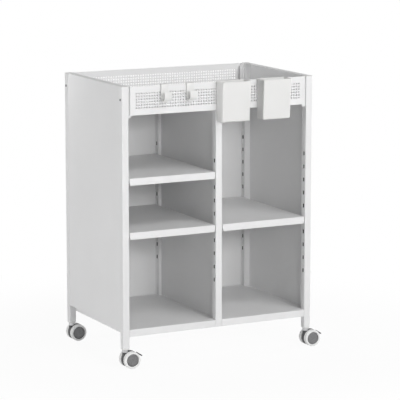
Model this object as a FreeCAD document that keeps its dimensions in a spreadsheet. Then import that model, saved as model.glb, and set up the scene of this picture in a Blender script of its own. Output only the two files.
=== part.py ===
import FreeCAD, Part
import os
import Sketcher

# Mobile bookcase: a white steel case on four twin-wheel casters, with a perforated tray rail on top.
# X runs to the right, Y from the front to the rear and Z up. The origin is on the floor, under the middle.
# All sizes are in millimetres.

DIMENSIONS = {
    # the case and its posts
    "case_width": 600,
    "case_depth": 390,
    "leg_bottom": 57,
    "post_length": 733.5,
    "post_width": 20,
    "post_wall": 1,
    "post_corner": 2,
    "cap_head": 1.5,
    "cap_plug": 10,
    # the slots for the shelf clips, counted from the lowest
    "slot_width": 7,
    "slot_height": 11,
    "slot_pitch": 38,
    "slot_count": 10,
    "lowest_slot": 225,
    # the folded sheet panels
    "panel_sheet": 1.2,
    "panel_recess": 0.5,
    "panel_bottom": 107,
    "back_flange": 5.5,
    "divider_flange": 7,
    "beam_drop": 16,
    # the shelves
    "shelf_sheet": 1.2,
    "shelf_lip": 20,
    "shelf_flange": 14,
    "shelf_rise": 7.5,
    "shelf_clearance": 0.5,
    "shelf_rear_clearance": 1,
    "bottom_shelf_top": 109.5,
    "left_upper_slot_count": 8,
    "left_lower_slot_count": 4,
    "right_slot_count": 4,
    # the shelf clips
    "clip_plate": 1.5,
    "clip_width": 7.6,
    "clip_ledge": 10.5,
    "clip_ledge_thickness": 2,
    "clip_tongue": 2,
    "clip_hook_drop": 3,
    "clip_slot_clearance": 0.2,
    # the tray: rails, deck, brackets and screws
    "rail_sheet": 1.2,
    "rail_height": 80,
    "rail_drop": 1,
    "rail_flange": 14.5,
    "rail_bend": 2.5,
    "rail_end_gap": 4.5,
    "hole_diameter": 5,
    "hole_pitch": 8,
    "hole_end_margin": 19,
    "hole_edge_margin": 19.5,
    "deck_rise": 13,
    "deck_sheet": 1.2,
    "deck_clearance": 0.3,
    "bracket_plate": 2,
    "bracket_width": 7,
    "bracket_setback": 15,
    "bracket_front": 6.5,
    "bracket_tab": 10,
    "bracket_hang": 7.5,
    "bracket_top_drop": 8,
    "screw_drop": 37,
    "screw_shank": 4,
    "screw_head": 7,
    "screw_head_height": 1.5,
    "screw_reach": 3,
    # the casters
    "caster_trail": 14,
    "wheel_diameter": 48,
    "wheel_width": 15,
    "wheel_gap": 14,
    "tyre_edge": 3,
    "hub_diameter": 36.5,
    "hub_face": 3,
    "hub_bevel": 3.5,
    "hub_bevel_depth": 1.2,
    "axle_diameter": 6,
    "running_clearance": 0.05,
    "hood_diameter": 49,
    "hood_width": 12,
    "hood_underside": 8,
    "boss_diameter": 17,
    "boss_bottom": 23,
    "stem_diameter": 8,
    "stem_bottom": 30,
    "stem_clearance": 0.3,
    "socket_length": 30,
    "foot_height": 4.5,
    "foot_flare": 26,
    "foot_neck": 18.4,
    "neck_diameter": 17.5,
    "neck_height": 7,
    "neck_clearance": 0.5,
    # the brake levers, seen from the wheel axis
    "lever_pivot_x": 16,
    "lever_pivot_z": 10.7,
    "lever_pin_diameter": 3,
    "lever_barrel": 6.4,
    "lever_notch_width": 8,
    "lever_notch_x": 11,
    "lever_notch_z": 5.8,
    "lever_side_clearance": 0.2,
    "lever_arm_length": 9.5,
    "lever_arm_thickness": 3.4,
    "lever_arm_angle": 35,
    "lever_pedal_length": 16,
    "lever_pedal_width": 12,
    "lever_pedal_slope": 32,
    # the cups, set back from the right end of the front rail, and the hooks, from its left end
    "hang_clearance": 0.3,
    "left_cup_setback": 241.5,
    "right_cup_setback": 112.5,
    "cup_width": 90,
    "cup_depth": 47,
    "cup_height": 113.5,
    "cup_side_taper": 1.7,
    "cup_front_taper": 9,
    "cup_wall": 2,
    "cup_corner": 4.5,
    "cup_foot_corner": 4,
    "cup_hook_width": 50,
    "cup_hook_plate": 2,
    "cup_hook_drop": 20,
    "left_hook_setback": 104,
    "right_hook_setback": 182.5,
    "hook_width": 22,
    "hook_plate": 2,
    "hook_depth": 27,
    "hook_height": 47,
    "hook_lip": 26,
    "hook_back_drop": 18,
    "hook_rib": 3.5,
    "hook_rib_width": 10,
}

doc = FreeCAD.newDocument("mobile_bookcase")
sheet = doc.addObject("Spreadsheet::Sheet", "dims")
for row, (alias, size) in enumerate(DIMENSIONS.items(), start=1):
    sheet.set(f"A{row}", alias)
    sheet.set(f"B{row}", str(size))
    sheet.setAlias(f"B{row}", alias)
doc.recompute()

# Places that several pieces share, as expressions on the sheet
HALF_WIDTH = "(dims.case_width / 2)"
HALF_DEPTH = "(dims.case_depth / 2)"
POST_AXIS_X = "(dims.case_width / 2 - dims.post_width / 2)"
POST_AXIS_Y = "(dims.case_depth / 2 - dims.post_width / 2)"
POST_FACE_X = "(dims.case_width / 2 - dims.post_width)"
POST_FACE_Y = "(dims.case_depth / 2 - dims.post_width)"
HALF_POST = "(dims.post_width / 2)"
POST_BORE = "(dims.post_width - 2 * dims.post_wall)"
POST_TOP = "(dims.leg_bottom + dims.post_length)"
CASE_TOP = f"({POST_TOP} + dims.cap_head)"
RAIL_TOP = f"({CASE_TOP} - dims.rail_drop)"
RAIL_BOTTOM = f"({RAIL_TOP} - dims.rail_height)"
BOTTOM_LIP = "(dims.bottom_shelf_top - dims.shelf_lip)"
DECK_TOP = f"({RAIL_BOTTOM} + dims.deck_rise)"
DECK_UNDERSIDE = f"({DECK_TOP} - dims.deck_sheet)"
BEAM_BOTTOM = f"({RAIL_BOTTOM} - dims.beam_drop)"
RAIL_END_X = f"({POST_FACE_X} - dims.rail_end_gap)"
BRACKET_FACE_X = f"({RAIL_END_X} - dims.rail_sheet)"
BRACKET_FACE_Y = "(dims.case_depth / 2 - dims.bracket_setback)"
SCREW_Z = f"({CASE_TOP} - dims.screw_drop)"
FOOT_BOTTOM = "(dims.leg_bottom - dims.foot_height)"
NECK_BOTTOM = f"({FOOT_BOTTOM} - dims.neck_height)"
WHEEL_Z = "(dims.wheel_diameter / 2)"

LEFT, RIGHT = -1, 1
FRONT, REAR = -1, 1
SIDES = {"left": LEFT, "right": RIGHT}
ENDS = {"front": FRONT, "rear": REAR}

finished = []


def keep(obj, label):
    """Name a finished sub-part, which also names its file."""
    obj.Label = label
    finished.append(obj)
    return obj


def mirrored(sign, near, far):
    """Return the low and high ends of a span that lies between near and far on one side of the middle."""
    if sign > 0:
        return near, far
    return f"-({far})", f"-({near})"


def place(obj, x, y, z):
    """Put an object at a point given as three expressions."""
    for axis, expression in zip("xyz", (x, y, z)):
        obj.setExpression(f"Placement.Base.{axis}", expression)


def block(x, y, z):
    """Add a box that spans three pairs of expressions."""
    obj = doc.addObject("Part::Box", "block")
    for size, axis, (low, high) in (("Length", "x", x), ("Width", "y", y), ("Height", "z", z)):
        obj.setExpression(size, f"({high}) - ({low})")
        obj.setExpression(f"Placement.Base.{axis}", f"{low}")
    return obj


def rod(centre, radius, length, axis="z"):
    """Add a cylinder that starts at a centre, given as three expressions, and runs along an axis."""
    obj = doc.addObject("Part::Cylinder", "rod")
    obj.setExpression("Radius", radius)
    obj.setExpression("Height", length)
    turns = {
        "x": FreeCAD.Rotation(FreeCAD.Vector(0, 1, 0), 90),
        "y": FreeCAD.Rotation(FreeCAD.Vector(1, 0, 0), -90),
        "z": FreeCAD.Rotation(),
    }
    obj.Placement = FreeCAD.Placement(FreeCAD.Vector(), turns[axis])
    place(obj, *centre)
    return obj


def cut(base, tool):
    """Take one solid away from another."""
    obj = doc.addObject("Part::Cut", "cut")
    obj.Base = base
    obj.Tool = tool
    return obj


def overlap(first, second):
    """Keep what two solids share."""
    obj = doc.addObject("Part::MultiCommon", "overlap")
    obj.Shapes = [first, second]
    return obj


def fuse(*solids):
    """Join solids that are one piece of material."""
    obj = doc.addObject("Part::MultiFuse", "fuse")
    obj.Shapes = list(solids)
    return obj


def group(solids, label):
    """Keep like pieces together as separate solids of one node."""
    obj = doc.addObject("Part::Compound", "group")
    obj.Links = solids
    return keep(obj, label)


def new_sketch(body, plane, lift="0"):
    """Add a sketch on one of the body's own origin planes, lifted along the plane's normal."""
    sketch = body.newObject("Sketcher::SketchObject", "sketch")
    support = next(feature for feature in body.Origin.OriginFeatures if feature.Role == plane)
    sketch.AttachmentSupport = [(support, "")]
    sketch.MapMode = "FlatFace"
    sketch.setExpression("AttachmentOffset.Base.z", lift)
    return sketch


def add_rectangle(sketch, width, height, across="0", rise="0"):
    """Draw a rectangle about a point of the sketch, with its sizes and place bound to expressions."""
    vector = FreeCAD.Vector
    corners = [vector(-1, -1, 0), vector(1, -1, 0), vector(1, 1, 0), vector(-1, 1, 0)]
    lines = [Part.LineSegment(corners[i], corners[(i + 1) % 4]) for i in range(4)]
    first = sketch.addGeometry(lines)[0]
    middle = sketch.addGeometry(Part.Point(vector(0, 0, 0)), True)
    for i in range(4):
        sketch.addConstraint(Sketcher.Constraint("Coincident", first + i, 2, first + (i + 1) % 4, 1))
    for i in (0, 2):
        sketch.addConstraint(Sketcher.Constraint("Horizontal", first + i))
        sketch.addConstraint(Sketcher.Constraint("Vertical", first + i + 1))
    sketch.addConstraint(Sketcher.Constraint("Symmetric", first, 1, first + 2, 1, middle, 1))
    sizes = (
        (("DistanceX", first, 1, first, 2, 2.0), width),
        (("DistanceY", first + 1, 1, first + 1, 2, 2.0), height),
        (("DistanceX", -1, 1, middle, 1, 0.0), across),
        (("DistanceY", -1, 1, middle, 1, 0.0), rise),
    )
    for constraint, expression in sizes:
        index = sketch.addConstraint(Sketcher.Constraint(*constraint))
        sketch.setExpression(f"Constraints[{index}]", expression)


def add_circle(sketch, radius, rise="0"):
    """Draw a circle on the sketch's upright axis, with its radius and height bound to expressions."""
    circle = Part.Circle(FreeCAD.Vector(0, 0, 0), FreeCAD.Vector(0, 0, 1), 1.0)
    index = sketch.addGeometry(circle)
    sketch.addConstraint(Sketcher.Constraint("PointOnObject", index, 3, -2))
    bound = sketch.addConstraint(Sketcher.Constraint("Radius", index, 1.0))
    sketch.setExpression(f"Constraints[{bound}]", radius)
    bound = sketch.addConstraint(Sketcher.Constraint("DistanceY", -1, 1, index, 3, 0.0))
    sketch.setExpression(f"Constraints[{bound}]", rise)


def pad(body, sketch, length):
    """Raise a solid from a sketch."""
    feature = body.newObject("PartDesign::Pad", "pad")
    feature.Profile = sketch
    feature.setExpression("Length", length)
    doc.recompute()
    return feature


def pocket(body, sketch, depth, both_ways=False, reverse=False):
    """Sink a sketch into a body, on one side of its plane or on both."""
    feature = body.newObject("PartDesign::Pocket", "pocket")
    feature.Profile = sketch
    feature.SideType = "Symmetric" if both_ways else "One side"
    feature.Reversed = reverse
    feature.setExpression("Length", depth)
    return feature


def round_edges(body, feature, radius, wanted):
    """Round the edges of a feature that a test picks out."""
    edges = [f"Edge{i}" for i, edge in enumerate(feature.Shape.Edges, start=1) if wanted(edge)]
    rounded = body.newObject("PartDesign::Fillet", "rounded")
    rounded.Base = (feature, edges)
    rounded.setExpression("Radius", radius)
    doc.recompute()
    return rounded


def upright_outer_edge(width):
    """Return a test for the upright edges on the outside of a square section."""
    def wanted(edge):
        ends = [vertex.Point for vertex in edge.Vertexes]
        upright = len(ends) == 2 and abs(ends[0].z - ends[1].z) > width * 0.01
        same_place = upright and (ends[0] - ends[1]).cross(FreeCAD.Vector(0, 0, 1)).Length < 1e-6
        return same_place and all(abs(abs(at) - width / 2) < 1e-6 for at in (ends[0].x, ends[0].y))
    return wanted


def make_post(label, x, y, low, length, slot_side, screwed):
    """Make a square tube with clip slots in its left face, its right face or, for slot_side 0, both."""
    body = doc.addObject("PartDesign::Body", label)
    place(body, x, y, low)
    section = new_sketch(body, "XY_Plane")
    add_rectangle(section, "dims.post_width", "dims.post_width")
    add_rectangle(section, POST_BORE, POST_BORE)
    tube = pad(body, section, length)
    round_edges(body, tube, "dims.post_corner", upright_outer_edge(sheet.post_width))
    slot = new_sketch(body, "YZ_Plane")
    add_rectangle(slot, "dims.slot_width", "dims.slot_height", rise=f"dims.lowest_slot - {low}")
    depth = "dims.post_width * 2" if slot_side == 0 else "dims.post_width"
    slots = pocket(body, slot, depth, both_ways=slot_side == 0, reverse=slot_side > 0)
    doc.recompute()
    row = body.newObject("PartDesign::LinearPattern", "row")
    row.Originals = [slots]
    row.Direction = (next(f for f in body.Origin.OriginFeatures if f.Role == "Z_Axis"), [""])
    row.setExpression("Occurrences", "dims.slot_count")
    row.setExpression("Length", "dims.slot_pitch * (dims.slot_count - 1)")
    body.Tip = row
    doc.recompute()
    if screwed:
        hole = new_sketch(body, "YZ_Plane")
        add_circle(hole, "dims.screw_shank / 2", rise=f"{SCREW_Z} - {low}")
        pocket(body, hole, "dims.post_width * 2", both_ways=True)
    return keep(body, label)


def make_posts():
    """Make the four corner posts and the two shorter centre posts."""
    for end, y_sign in ENDS.items():
        y = f"{y_sign} * {POST_AXIS_Y}"
        for side, x_sign in SIDES.items():
            x = f"{x_sign} * {POST_AXIS_X}"
            make_post(f"{side}_{end}_post", x, y, "dims.leg_bottom", "dims.post_length", -x_sign, True)
        make_post(f"centre_{end}_post", "0", y, BOTTOM_LIP, f"{RAIL_BOTTOM} - {BOTTOM_LIP}", 0, False)


def make_post_caps():
    """Make the plugs that close the open tops of the corner posts."""
    caps = []
    for y_sign in ENDS.values():
        for x_sign in SIDES.values():
            body = doc.addObject("PartDesign::Body", "cap")
            place(body, f"{x_sign} * {POST_AXIS_X}", f"{y_sign} * {POST_AXIS_Y}", POST_TOP)
            head = new_sketch(body, "XY_Plane")
            add_rectangle(head, "dims.post_width", "dims.post_width")
            lid = pad(body, head, "dims.cap_head")
            round_edges(body, lid, "dims.post_corner", upright_outer_edge(sheet.post_width))
            plug = new_sketch(body, "XY_Plane")
            add_rectangle(plug, POST_BORE, POST_BORE)
            pad(body, plug, "dims.cap_plug").Reversed = True
            caps.append(body)
    group(caps, "post_caps")


def pan(x, y, z, open_x=None, open_y=None, open_z=None, wall="dims.panel_sheet"):
    """Make a folded sheet tray: a box whose sheet is left on every side but the open one."""
    spans = []
    for (low, high), opening in ((x, open_x), (y, open_y), (z, open_z)):
        inner_low = low if opening == -1 else f"{low} + {wall}"
        inner_high = high if opening == 1 else f"{high} - {wall}"
        spans.append((inner_low, inner_high))
    return cut(block(x, y, z), block(*spans))


def make_side_panels():
    """Make the side pans, which close the case between its front and rear posts."""
    for side, sign in SIDES.items():
        x = mirrored(sign, POST_FACE_X, f"{HALF_WIDTH} - dims.panel_recess")
        y = (f"-{POST_FACE_Y}", POST_FACE_Y)
        keep(pan(x, y, ("dims.panel_bottom", CASE_TOP), open_x=-sign), f"{side}_side_panel")


def make_back_panels():
    """Make the back pans, which stand on the bottom shelves between the rear posts."""
    y = (
        f"{HALF_DEPTH} - dims.panel_recess - dims.back_flange",
        f"{HALF_DEPTH} - dims.panel_recess",
    )
    for side, sign in SIDES.items():
        x = mirrored(sign, HALF_POST, POST_FACE_X)
        keep(pan(x, y, ("dims.bottom_shelf_top", RAIL_BOTTOM), open_y=-1), f"{side}_back_panel")


def make_centre_wall():
    """Make the divider between the centre posts, and the channel above it that carries the deck."""
    half_sheet = "dims.panel_sheet / 2"
    y = (f"-{POST_FACE_Y}", POST_FACE_Y)
    z = ("dims.bottom_shelf_top", BEAM_BOTTOM)
    web = block((f"-{half_sheet}", half_sheet), y, z)
    across = (f"-{HALF_POST}", HALF_POST)
    foot = block(across, y, ("dims.bottom_shelf_top - dims.panel_sheet", "dims.bottom_shelf_top"))
    flange_x = ("-dims.divider_flange", "dims.divider_flange")
    flanges = [
        block(flange_x, mirrored(sign, f"{POST_FACE_Y} - dims.panel_sheet", POST_FACE_Y), z)
        for sign in ENDS.values()
    ]
    keep(fuse(web, foot, *flanges), "centre_divider")
    beam_z = (BEAM_BOTTOM, DECK_UNDERSIDE)
    keep(pan(across, y, beam_z, open_z=1), "centre_top_beam")


def make_bottom_shelves():
    """Make the two fixed shelves between the feet of the posts, folded down on all four sides."""
    y = (f"-{HALF_DEPTH}", HALF_DEPTH)
    z = (BOTTOM_LIP, "dims.bottom_shelf_top")
    for side, sign in SIDES.items():
        x = mirrored(sign, HALF_POST, POST_FACE_X)
        keep(pan(x, y, z, open_z=-1, wall="dims.shelf_sheet"), f"{side}_bottom_shelf")


def slot_height(step):
    """Return the height of the middle of a slot, counted in steps from the lowest."""
    return f"(dims.lowest_slot + {step} * dims.slot_pitch)"


def make_hung_shelf(label, sign, step):
    """Make a shelf that hangs on clips: a deep lip in front, shorter flanges on the other sides."""
    inset = "(dims.clip_plate + dims.shelf_clearance)"
    x = mirrored(sign, f"{HALF_POST} + {inset}", f"{POST_FACE_X} - {inset}")
    back_edge = f"{HALF_DEPTH} - dims.panel_recess - dims.back_flange - dims.shelf_rear_clearance"
    y = (f"-{HALF_DEPTH}", back_edge)
    top = f"({slot_height(step)} + dims.shelf_rise)"
    plate = pan(x, y, (f"{top} - dims.shelf_flange", top), open_z=-1, wall="dims.shelf_sheet")
    lip = block(x, (y[0], f"{y[0]} + dims.shelf_sheet"), (f"{top} - dims.shelf_lip", top))
    keep(fuse(plate, lip), label)


def make_clip(face, facing, y, step):
    """Make a clip on a post's face: a tongue hooked into the slot and a ledge under the shelf."""
    middle = slot_height(step)
    ledge_top = f"({middle} + dims.shelf_rise - dims.shelf_flange)"
    ledge_bottom = f"({ledge_top} - dims.clip_ledge_thickness)"
    half_slot = "(dims.slot_height / 2 - dims.clip_slot_clearance)"
    y_plate = (f"{y} - dims.clip_width / 2", f"{y} + dims.clip_width / 2")
    half_tongue = "(dims.slot_width / 2 - dims.clip_slot_clearance)"
    y_tongue = (f"{y} - {half_tongue}", f"{y} + {half_tongue}")
    hook_near = "dims.post_wall + dims.clip_slot_clearance"
    hook_far = f"{hook_near} + dims.clip_tongue"

    def outward(near, far):
        """Return a span measured from the post's face into the compartment."""
        if facing > 0:
            return f"{face} + {near}", f"{face} + {far}"
        return f"{face} - ({far})", f"{face} - ({near})"

    plate = block(outward("0", "dims.clip_plate"), y_plate, (ledge_bottom, f"{middle} + {half_slot}"))
    ledge_reach = outward("0", "dims.clip_plate + dims.clip_ledge")
    ledge = block(ledge_reach, y_plate, (ledge_bottom, ledge_top))
    tongue_z = (f"{middle} - {half_slot}", f"{middle} + {half_slot}")
    tongue = block(outward(f"-({hook_far})", "0"), y_tongue, tongue_z)
    hook_z = (f"{middle} - {half_slot} - dims.clip_hook_drop", f"{middle} + {half_slot}")
    hook = block(outward(f"-({hook_far})", f"-({hook_near})"), y_tongue, hook_z)
    return fuse(plate, ledge, tongue, hook)


def make_hung_shelves():
    """Make the three hung shelves and the clips that carry them."""
    shelves = (
        ("left_upper_shelf", LEFT, "dims.left_upper_slot_count"),
        ("left_lower_shelf", LEFT, "dims.left_lower_slot_count"),
        ("right_shelf", RIGHT, "dims.right_slot_count"),
    )
    clips = []
    for label, sign, step in shelves:
        make_hung_shelf(label, sign, step)
        for y_sign in ENDS.values():
            y = f"{y_sign} * {POST_AXIS_Y}"
            clips.append(make_clip(f"{sign} * {POST_FACE_X}", -sign, y, step))
            clips.append(make_clip(f"{sign} * {HALF_POST}", sign, y, step))
    group(clips, "shelf_clips")


def value(expression):
    """Return the present value of an expression on the sheet, for shapes that are set directly."""
    return float(sheet.evalExpression(expression))


def make_rail(label, end):
    """Make a perforated rail: a sheet with rows of round holes and its two ends folded inwards."""
    face_y = end * value(HALF_DEPTH)
    inward = -end
    half = value(RAIL_END_X)
    thickness = sheet.rail_sheet
    bend = sheet.rail_bend
    top = value(RAIL_TOP)
    bottom = value(RAIL_BOTTOM)
    flat = half - bend
    vector = FreeCAD.Vector
    outline = Part.makePolygon([
        vector(-flat, face_y, bottom),
        vector(flat, face_y, bottom),
        vector(flat, face_y, top),
        vector(-flat, face_y, top),
        vector(-flat, face_y, bottom),
    ])
    holes = []
    columns = int((2 * half - 2 * sheet.hole_end_margin) / sheet.hole_pitch) + 1
    rows = int((top - bottom - 2 * sheet.hole_edge_margin) / sheet.hole_pitch) + 1
    first_x = -sheet.hole_pitch * (columns - 1) / 2
    first_z = (top + bottom) / 2 + sheet.hole_pitch * (rows - 1) / 2
    for column in range(columns):
        for line in range(rows):
            centre = vector(first_x + column * sheet.hole_pitch, face_y, first_z - line * sheet.hole_pitch)
            circle = Part.makeCircle(sheet.hole_diameter / 2, centre, vector(0, 1, 0))
            holes.append(Part.Wire([circle]))
    plate = Part.makeFace([Part.Wire(outline)] + holes, "Part::FaceMakerBullseye")
    pieces = [plate.extrude(vector(0, inward * thickness, 0))]
    for sign in SIDES.values():
        bend_axis = vector(sign * flat, face_y + inward * bend, bottom)
        quarter = Part.makeCylinder(bend, top - bottom, bend_axis)
        quarter = quarter.cut(Part.makeCylinder(bend - thickness, top - bottom, bend_axis))
        corner = Part.makeBox(bend, bend, top - bottom)
        corner.translate(vector(min(sign * flat, sign * half), min(face_y, face_y + inward * bend), bottom))
        pieces.append(quarter.common(corner))
        flange = Part.makeBox(thickness, sheet.rail_flange - bend, top - bottom)
        flange_y = (face_y + inward * bend, face_y + inward * sheet.rail_flange)
        flange.translate(vector(min(sign * half, sign * (half - thickness)), min(flange_y), bottom))
        hole_start = vector(sign * (half + thickness), end * value(POST_AXIS_Y), value(SCREW_Z))
        hole = Part.makeCylinder(sheet.screw_shank / 2, thickness * 4, hole_start, vector(-sign, 0, 0))
        pieces.append(flange.cut(hole))
    rail = doc.addObject("Part::Feature", label)
    rail.Shape = pieces[0].multiFuse(pieces[1:]).removeSplitter()
    keep(rail, label)


def make_deck():
    """Make the deck of the tray, notched round the posts and brackets and folded down behind the rails."""
    z = (DECK_UNDERSIDE, DECK_TOP)
    ears_x = f"({HALF_WIDTH} - dims.panel_recess - dims.panel_sheet - dims.deck_clearance)"
    ears_y = f"({POST_FACE_Y} - dims.panel_sheet - dims.deck_clearance)"
    ears = block((f"-{ears_x}", ears_x), (f"-{ears_y}", ears_y), z)
    between_posts = (f"-{POST_FACE_X}", POST_FACE_X)
    corners = block(between_posts, (f"-{BRACKET_FACE_Y}", BRACKET_FACE_Y), z)
    rail_y = f"({HALF_DEPTH} - dims.rail_sheet - dims.deck_clearance)"
    clear_x = f"({BRACKET_FACE_X} - dims.bracket_width - dims.deck_clearance)"
    between_brackets = (f"-{clear_x}", clear_x)
    plate = block(between_brackets, (f"-{rail_y}", rail_y), z)
    lips = [
        block(
            between_brackets,
            mirrored(sign, f"{rail_y} - dims.deck_sheet", rail_y),
            (RAIL_BOTTOM, DECK_TOP),
        )
        for sign in ENDS.values()
    ]
    keep(fuse(plate, corners, ears, *lips), "top_deck")


def make_rail_brackets():
    """Make the brackets between the posts and the ends of the rails.

    Each is a channel, open at the top, that takes the rail's folded end. Its outer wall lies on the post,
    the tab under it hangs below the rail, and a foot behind its inner wall carries the deck's corner.
    """
    brackets = []
    screws = []
    leg_z = (RAIL_BOTTOM, f"{RAIL_TOP} - dims.bracket_top_drop")
    spacer_z = (RAIL_BOTTOM, RAIL_TOP)
    tab_z = (f"{RAIL_BOTTOM} - dims.bracket_hang", RAIL_BOTTOM)
    foot_z = (f"{DECK_UNDERSIDE} - dims.bracket_plate", DECK_UNDERSIDE)
    tab_front = f"({HALF_DEPTH} - dims.panel_recess - dims.back_flange - dims.deck_clearance)"
    grip = "dims.rail_end_gap + dims.rail_sheet + dims.bracket_plate"
    length = f"(dims.post_width + {grip} + dims.screw_reach)"
    for y_sign in ENDS.values():
        screw_y = f"{y_sign} * {POST_AXIS_Y}"
        leg_y = mirrored(y_sign, BRACKET_FACE_Y, f"{HALF_DEPTH} - dims.rail_bend - dims.rail_sheet")
        wing_y = mirrored(y_sign, BRACKET_FACE_Y, f"{BRACKET_FACE_Y} + dims.bracket_plate")
        spacer_y = mirrored(y_sign, BRACKET_FACE_Y, f"{HALF_DEPTH} - dims.bracket_front")
        tab_y = mirrored(y_sign, BRACKET_FACE_Y, tab_front)
        foot_y = mirrored(y_sign, POST_FACE_Y, BRACKET_FACE_Y)
        for x_sign in SIDES.values():
            leg_x = mirrored(x_sign, f"{BRACKET_FACE_X} - dims.bracket_plate", BRACKET_FACE_X)
            wing_x = mirrored(x_sign, f"{BRACKET_FACE_X} - dims.bracket_width", BRACKET_FACE_X)
            spacer_x = mirrored(x_sign, RAIL_END_X, POST_FACE_X)
            tab_x = mirrored(x_sign, f"{POST_FACE_X} - dims.bracket_tab", POST_FACE_X)
            leg = block(leg_x, leg_y, leg_z)
            wing = block(wing_x, wing_y, leg_z)
            spacer = block(spacer_x, spacer_y, spacer_z)
            channel = fuse(leg, wing, spacer, block(tab_x, tab_y, tab_z), block(wing_x, foot_y, foot_z))
            start = f"({HALF_WIDTH} - {length})" if x_sign > 0 else f"-{HALF_WIDTH}"
            shank = rod((start, screw_y, SCREW_Z), "dims.screw_shank / 2", length, "x")
            brackets.append(cut(channel, shank))
            head_x = HALF_WIDTH if x_sign > 0 else f"-({HALF_WIDTH} + dims.screw_head_height)"
            head = rod((head_x, screw_y, SCREW_Z), "dims.screw_head / 2", "dims.screw_head_height", "x")
            screws.append(fuse(shank, head))
    group(brackets, "rail_brackets")
    group(screws, "rail_screws")


def make_caster_mounts():
    """Make the sockets, each with a tapered foot under its post, and the stems and necks below them."""
    sockets = []
    stems = []
    necks = []
    bore = f"({POST_BORE} / 2)"
    for y_sign in ENDS.values():
        for x_sign in SIDES.values():
            x = f"({x_sign} * {POST_AXIS_X})"
            y = f"({y_sign} * {POST_AXIS_Y})"
            z = ("dims.leg_bottom", "dims.leg_bottom + dims.socket_length")
            length = "dims.leg_bottom + dims.socket_length - dims.stem_bottom"
            pin = rod((x, y, "dims.stem_bottom"), "dims.stem_diameter / 2", length)
            plug = block((f"{x} - {bore}", f"{x} + {bore}"), (f"{y} - {bore}", f"{y} + {bore}"), z)
            taper = doc.addObject("Part::Cone", "taper")
            taper.setExpression("Radius1", "dims.foot_neck / 2")
            taper.setExpression("Radius2", "dims.foot_flare / 2")
            taper.setExpression("Height", "dims.foot_height")
            place(taper, x, y, FOOT_BOTTOM)
            under_post = block(
                (f"{x} - {HALF_POST}", f"{x} + {HALF_POST}"),
                (f"{y} - {HALF_POST}", f"{y} + {HALF_POST}"),
                (FOOT_BOTTOM, "dims.leg_bottom"),
            )
            sockets.append(cut(fuse(plug, overlap(taper, under_post)), pin))
            neck = rod((x, y, NECK_BOTTOM), "dims.neck_diameter / 2", "dims.neck_height")
            stems.append(pin)
            necks.append(cut(neck, pin))
    group(sockets, "caster_sockets")
    group(stems, "caster_stems")
    group(necks, "caster_necks")


def across_axle(x, y, radius, width, z=WHEEL_Z):
    """Add a cylinder that lies along Y with its middle at y."""
    return rod((x, f"{y} - ({width}) / 2", z), radius, width, "y")


def make_hood(label, x, y, braked):
    """Make the web between the wheels, with the flat-sided boss that turns on the stem."""
    axle_x = f"({x} + dims.caster_trail)"
    web = across_axle(axle_x, y, "dims.hood_diameter / 2", "dims.hood_width")
    reach = "dims.hood_diameter"
    below = block(
        (f"{axle_x} - {reach}", f"{axle_x} + {reach}"),
        (f"{y} - {reach}", f"{y} + {reach}"),
        (f"dims.hood_underside - {reach}", "dims.hood_underside"),
    )
    boss_top = f"({NECK_BOTTOM} - dims.stem_clearance)"
    column = rod((x, y, "dims.boss_bottom"), "dims.boss_diameter / 2", f"{boss_top} - dims.boss_bottom")
    between_wheels = block(
        (f"{x} - dims.boss_diameter", f"{x} + dims.boss_diameter"),
        (f"{y} - dims.hood_width / 2", f"{y} + dims.hood_width / 2"),
        ("dims.boss_bottom", boss_top),
    )
    hood = fuse(cut(web, below), overlap(column, between_wheels))
    bore_bottom = "(dims.stem_bottom - dims.stem_clearance)"
    bore_radius = "dims.stem_diameter / 2 + dims.running_clearance"
    tools = [
        rod((x, y, bore_bottom), bore_radius, f"{boss_top} - {bore_bottom} + dims.stem_diameter"),
        rod((x, y, boss_top), "dims.neck_diameter / 2 + dims.neck_clearance", "dims.hood_diameter / 2"),
        across_axle(axle_x, y, "dims.axle_diameter / 2", "dims.hood_width * 2"),
    ]
    if braked:
        tools.append(block(
            (f"{axle_x} + dims.lever_notch_x", f"{axle_x} + {reach}"),
            (f"{y} - dims.lever_notch_width / 2", f"{y} + dims.lever_notch_width / 2"),
            (f"{WHEEL_Z} + dims.lever_notch_z", f"{WHEEL_Z} + {reach}"),
        ))
        tools.append(across_axle(
            f"{axle_x} + dims.lever_pivot_x",
            y,
            "dims.lever_pin_diameter / 2 + dims.running_clearance",
            "dims.hood_width * 2",
            f"{WHEEL_Z} + dims.lever_pivot_z",
        ))
    keep(cut(hood, fuse(*tools)), label)


def sloped_bar(start_x, start_z, y, length, width, thickness, angle):
    """Add a bar that leaves a point at an angle above the floor, with its middle on that line."""
    bar = doc.addObject("Part::Box", "bar")
    bar.setExpression("Length", length)
    bar.setExpression("Width", width)
    bar.setExpression("Height", thickness)
    bar.Placement = FreeCAD.Placement(FreeCAD.Vector(), FreeCAD.Rotation(FreeCAD.Vector(0, 1, 0), 0))
    bar.setExpression("Placement.Rotation.Angle", angle)
    bar.setExpression("Placement.Rotation.Axis.y", "-1")
    bar.setExpression("Placement.Base.x", f"{start_x} + ({thickness}) / 2 * sin({angle})")
    bar.setExpression("Placement.Base.y", f"{y} - ({width}) / 2")
    bar.setExpression("Placement.Base.z", f"{start_z} - ({thickness}) / 2 * cos({angle})")
    return bar


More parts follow.
